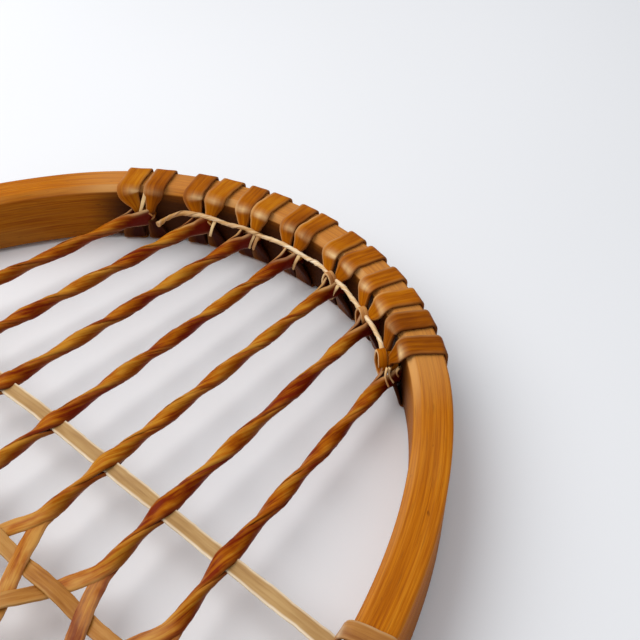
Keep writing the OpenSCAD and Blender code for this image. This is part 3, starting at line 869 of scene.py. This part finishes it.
# Thin selvage cord along the inside of a tip
def build_selvage(end, turned):
    sign = -1.0 if turned else 1.0

    def spot(angle, radius, z):
        t = math.radians(angle)
        return (sign * radius * math.sin(t), sign * (TIP_CENTER + radius * math.cos(t)), z)

    knots = [spot(-31.6, 94.0, 16.4), spot(-30.2, 97.6, 16.8), spot(-27.6, 101.4, 17.3)]
    for angle in np.arange(-24.4, 35, 4.1):
        sway = 0.5 * math.sin(angle * 1.7)
        knots.append(spot(angle, 101.7 + sway, 17.5 + 0.4 * math.sin(angle * 0.9)))
    knots += [spot(35.4, 101.0, 17.0), spot(36.6, 100.6, 15.4), spot(36.8, 100.3, 13.4)]
    axis = curve(knots, 0.8)
    at = lengths(axis)
    strands = Strands()
    phase = math.pi * at / 5.5 + wander(at, 77, 0.9, 23)
    brown = np.clip(0.85 - at / 70 + wander(at, 78, 0.45, 31), 0.0, 0.85)
    width = 1.7 + 0.8 * np.exp(-(at / 1.6)**2) + 0.7 * np.exp(-((at - 15) / 5)**2)
    seed = 7000 + (50 if turned else 0)
    lay_plies(strands, axis, phase, 0.0, width, width / 2, seed, square=1.1, sides=12, rough=0.22,
              edge=0.25, dark=brown)
    name = end + "_selvage"
    place(strands, name + "_cord", STRAW, [name])


# Flat strips and laces
def lace_limit(y):
    """How far from the middle a lace goes at y, a little short of the hoop."""
    over = max(abs(y) - SIDE_END, 0.0)
    return SHOULDER_CENTER + math.sqrt((SHOULDER_RADIUS - STOCK_WIDTH)**2 - over**2) - 2.8


def strip_limit(y):
    """The same for a strip, which ends inside the necks of its side turns."""
    return lace_limit(y) + 1.5


def flat_lace(strands, x, y, z, seed, width=LACE_WIDTH, depth=LACE_DEPTH, cup=0.16, edge=(0.3, 0.12)):
    points = np.stack([x, y, z], axis=-1)
    s = lengths(points)
    up = np.zeros_like(points)
    up[:, 2] = 1.0
    up[:, 0] = wander(s, seed + 7, 0.1, 43)
    up[:, 1] = wander(s, seed + 8, 0.1, 51)
    strand(strands, points, up, width, depth, seed, cup=cup, rough=0.16, edge_pale=edge)


def row_strip(strands, y, x0, x1, row, seed):
    x = np.linspace(x0, x1, int((x1 - x0) / 1.6))
    over_right = (row + 0.5) * FORK_SPACING / 2
    z = LACING_Z + WEAVE_WAVE * np.cos(2 * math.pi * (x - over_right) / FORK_SPACING)
    flat_lace(strands, x, y + wander(x, seed, 0.25, 70), z, seed)


def build_strips():
    for end, sign in (("heel", -1), ("toe", 1)):
        strands = Strands()
        reach = strip_limit(STRIP_Y + LACE_WIDTH / 2)
        x = np.linspace(-reach, reach, 150)
        y = sign * STRIP_Y + wander(x, 71 + sign, 0.35, 120)
        z = np.full_like(x, LACING_Z)
        flat_lace(strands, x, y, z, 8000 + sign, width=5.2, depth=1.25, cup=0.32, edge=(1.0, 1.0))
        place(strands, end + "_strip_hide", PALE, [end + "_strip"])
    strands = Strands()
    for i in range(ROW_COUNT):
        y = FIRST_ROW + i * ROW_PITCH
        row_strip(strands, y, -strip_limit(y), strip_limit(y), i, 8100 + 20 * i)
    place(strands, "cross_strips_hide", LACE, ["cross_strips"])
    for right, name in ((True, "right_panel_strips"), (False, "left_panel_strips")):
        strands = Strands()
        for i in range(PANEL_ROWS):
            row = ROW_COUNT + 1 + i
            y = FIRST_ROW + row * ROW_PITCH
            near, far = SIDE_CORD + 0.5, strip_limit(y)
            x0, x1 = (near, far) if right else (-far, -near)
            row_strip(strands, y, x0, x1, row, 8300 + 20 * i + 5 * right)
        place(strands, name + "_hide", LACE, [name])


def build_toe_cord():
    strands = Strands()
    reach = strip_limit(TOE_CORD_Y)
    x = np.linspace(-reach, reach, 150)
    for i in (-1, 0, 1):
        z = LACING_Z + 0.25 * np.cos(x / 9 + i * 2.1)
        y = TOE_CORD_Y + i * 4.95 + wander(x, 80 + i, 0.15, 60)
        flat_lace(strands, x, y, z, 8400 + 20 * i, width=4.75, depth=1.5, cup=0.05, edge=(0.2, 0.1))
    place(strands, "toe_cord_strands", AMBER, ["toe_cord"])


def hook(inside, way, hand):
    """The end of a lace that goes over or under the side cord and round it."""
    side = math.copysign(1.0, inside[0])
    knots = [inside]
    for across, along, height in ((3.1, 3.4, 1.8), (0.8, 5.6, 3.5), (-1.9, 7.0, 3.1), (-3.7, 7.6, 0.6)):
        x = side * (SIDE_CORD + across)
        knots.append(np.array([x, inside[1] + way * along, LACING_Z + hand * height]))
    return knots


def slanting_lace(strands, k, y0, y1, hand, mirrored, seed, lower=None, upper=None):
    """A slanting lace of the weave. An end is plain (None), at a fork, tucked under, round a side cord or,
    given as a number, at the side turn of that y."""
    y = np.linspace(y0, y1, max(12, int((y1 - y0) / 1.4)))
    x, z = lace_line(k, y, hand)
    width = np.full_like(y, LACE_WIDTH)
    depth = np.full_like(y, LACE_DEPTH)
    if lower == "fork":
        width = width - 0.12 * np.exp(-((y - y0) / 3)**2)
        depth = depth - 0.08 * np.exp(-((y - y0) / 3)**2)
    if lower == "under":
        z = z - (z - LACING_Z + 1.6) * smooth((y0 + 9 - y) / 6)
    if upper == "under":
        z = z - (z - LACING_Z + 1.6) * smooth((y - y1 + 9) / 6)
    for end, hold in ((0, lower), (-1, upper)):
        inside = np.array([x[end], y[end], z[end]])
        if hold == "cord":
            knots = hook(inside, -1 if end == 0 else 1, hand)
        elif hold is None or isinstance(hold, str):
            continue
        else:
            side = math.copysign(1.0, x[end])
            at = np.array([side * (lace_limit(hold) + 1.0), hold, LACING_Z])
            middle_y = (2 * y[end] + hold) / 3
            middle = np.array([side * (lace_limit(hold) - 1.2), middle_y, LACING_Z])
            knots = [inside, middle, at]
        extra = curve(knots, 1.4)[1:]
        own = np.stack([x, y, z], axis=-1)
        joined = np.vstack([extra[::-1], own] if end == 0 else [own, extra])
        relax(joined, 4)
        x, y, z = joined.T
        width = np.full_like(y, LACE_WIDTH)
        depth = np.full_like(y, LACE_DEPTH)
    flat_lace(strands, -x if mirrored else x, y, z, seed, width, depth)


# Shortest lace that is made, and how far a lace runs on where it is tucked under
LEAST_LACE = 15.0
TUCK = 5.0


def bay_laces(strands, left, right, bottom, top, hand, mirrored, seed, at_bottom, at_top):
    """All laces of one hand in a bay, tied on at its edges."""
    rows = FIRST_ROW + ROW_PITCH * np.arange(ROW_COUNT + PANEL_ROWS + 1)
    half = LACE_WIDTH / 2 / math.cos(math.radians(30))
    left_is_hoop = left < -2 * SIDE_CORD
    right_is_hoop = right > 2 * SIDE_CORD
    # More lines than can cross any bay, of which the short ones get no lace
    for k in range(-12, 13):
        forked = abs(k) <= FIRST and at_bottom == "fork"
        first = bottom if forked or at_bottom != "fork" else FIRST_ROW - LACE_WIDTH / 2
        y0 = max(first, -FORK_Y + (left + half - k * FORK_SPACING) / SLANT)
        y1 = min(top, -FORK_Y + (right - half - k * FORK_SPACING) / SLANT)
        if y1 - y0 <= LEAST_LACE:
            continue
        lower, upper = at_bottom, at_top
        start, stop = y0, y1
        if at_bottom == "fork" and not forked:
            lower = None
        if at_bottom == "fork" and forked:
            start = -FORK_Y + FORK_SEAM[hand]
        if at_bottom == "under" and y0 == bottom:
            start = y0 - TUCK
        if y1 == top:
            stop = y1 + TUCK
        if y0 > first + 0.01:
            lower = float(rows[rows < y0 + 2][-1]) if left_is_hoop else "cord"
        if y1 < top - 0.01:
            upper = float(rows[rows > y1 - 2][0]) if right_is_hoop else "cord"
        slanting_lace(strands, k, start, stop, hand, mirrored, seed + 10 * k, lower, upper)


def build_laces():
    reach = lace_limit(FIRST_ROW)
    bottom = -FORK_Y + 0.7
    top = TOE_CORD_Y - TOE_CORD_HALF - 0.15
    for hand, name in ((1, "right_leaning_laces"), (-1, "left_leaning_laces")):
        strands = Strands()
        bay_laces(strands, -reach, reach, bottom, top, hand, hand < 0, 9200 + 300 * hand, "fork", "under")
        place(strands, name + "_hide", LACE, [name])
    side = SIDE_CORD + 2.95
    reach = lace_limit(STRIP_Y)
    low = TOE_CORD_Y + TOE_CORD_HALF + 0.15
    high = STRIP_Y - 5.15
    for right, name in ((True, "right_panel_laces"), (False, "left_panel_laces")):
        strands = Strands()
        bay_laces(strands, side, reach, low, high, 1, not right, 9800 + 7 * right, "under", "under")
        bay_laces(strands, -reach, -side, low, high, -1, right, 9900 + 7 * right, "under", "under")
        place(strands, name + "_hide", LACE, [name])


# Build all pieces
build_hoop()
for end_name, is_turned in (("toe", False), ("heel", True)):
    build_tip_hitches(end_name, is_turned)
    build_selvage(end_name, is_turned)
build_side_hitches()
build_cords()
build_strips()
build_toe_cord()
build_laces()
for node_name in ("scarf_rivets", "rivet_burrs"):
    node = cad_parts[node_name]
    node.data.materials.clear()
    node.data.materials.append(COPPER)


# Floor, light and camera
def build_floor():
    mesh = bpy.data.meshes.new("studio_floor")
    size = 3.0
    low = float(cad_low[2]) - 0.0002
    corners = [(-size, -size, low), (size, -size, low), (size, size, low), (-size, size, low)]
    mesh.from_pydata(corners, [], [(0, 1, 2, 3)])
    mesh.materials.append(studio_floor())
    floor = bpy.data.objects.new("studio_floor", mesh)
    bpy.context.scene.collection.objects.link(floor)


def area_light(name, place_at, target, size, power, colour):
    data = bpy.data.lights.new(name, "AREA")
    data.shape = "DISK"
    data.size = size
    data.energy = power
    data.color = colour
    lamp = bpy.data.objects.new(name, data)
    lamp.location = place_at
    way = np.array(place_at) - np.array(target)
    z = way / np.linalg.norm(way)
    x = unit(np.cross([0.0, 0.0, 1.0], z))
    y = np.cross(z, x)
    turned = Matrix((x.tolist(), y.tolist(), z.tolist())).transposed()
    lamp.rotation_euler = turned.to_euler()
    bpy.context.scene.collection.objects.link(lamp)


def build_light():
    world = bpy.data.worlds.new("studio_world")
    world.use_nodes = True
    sky = world.node_tree.nodes["Background"]
    sky.inputs["Color"].default_value = (0.96, 0.98, 1.0, 1)
    sky.inputs["Strength"].default_value = 0.6
    bpy.context.scene.world = world
    area_light("soft_key", (0.5, 0.05, 0.75), (0.0, -0.2, 0.0), 1.0, 7.0, (1.0, 0.985, 0.965))


def build_camera():
    """The photographed view: a close look at the heel from above the middle of the shoe."""
    data = bpy.data.cameras.new("photo_camera")
    data.sensor_width = 36.0
    data.lens = 53.44
    data.clip_start = 0.01
    camera = bpy.data.objects.new("photo_camera", data)
    pitch, yaw, roll = math.radians(42.43), math.radians(139.6), math.radians(0.64)
    way = np.array([math.sin(yaw) * math.cos(pitch), math.cos(yaw) * math.cos(pitch), -math.sin(pitch)])
    level = np.array([math.cos(yaw), -math.sin(yaw), 0.0])
    upright = np.cross(level, way)
    right = level * math.cos(roll) + upright * math.sin(roll)
    up = upright * math.cos(roll) - level * math.sin(roll)
    turned = Matrix((right.tolist(), up.tolist(), (-way).tolist())).transposed().to_4x4()
    turned.translation = (-0.18945, -0.02853, 0.23666)
    camera.matrix_world = turned
    bpy.context.scene.collection.objects.link(camera)
    bpy.context.scene.camera = camera


build_floor()
build_light()
build_camera()
bpy.context.scene.view_settings.view_transform = "Standard"
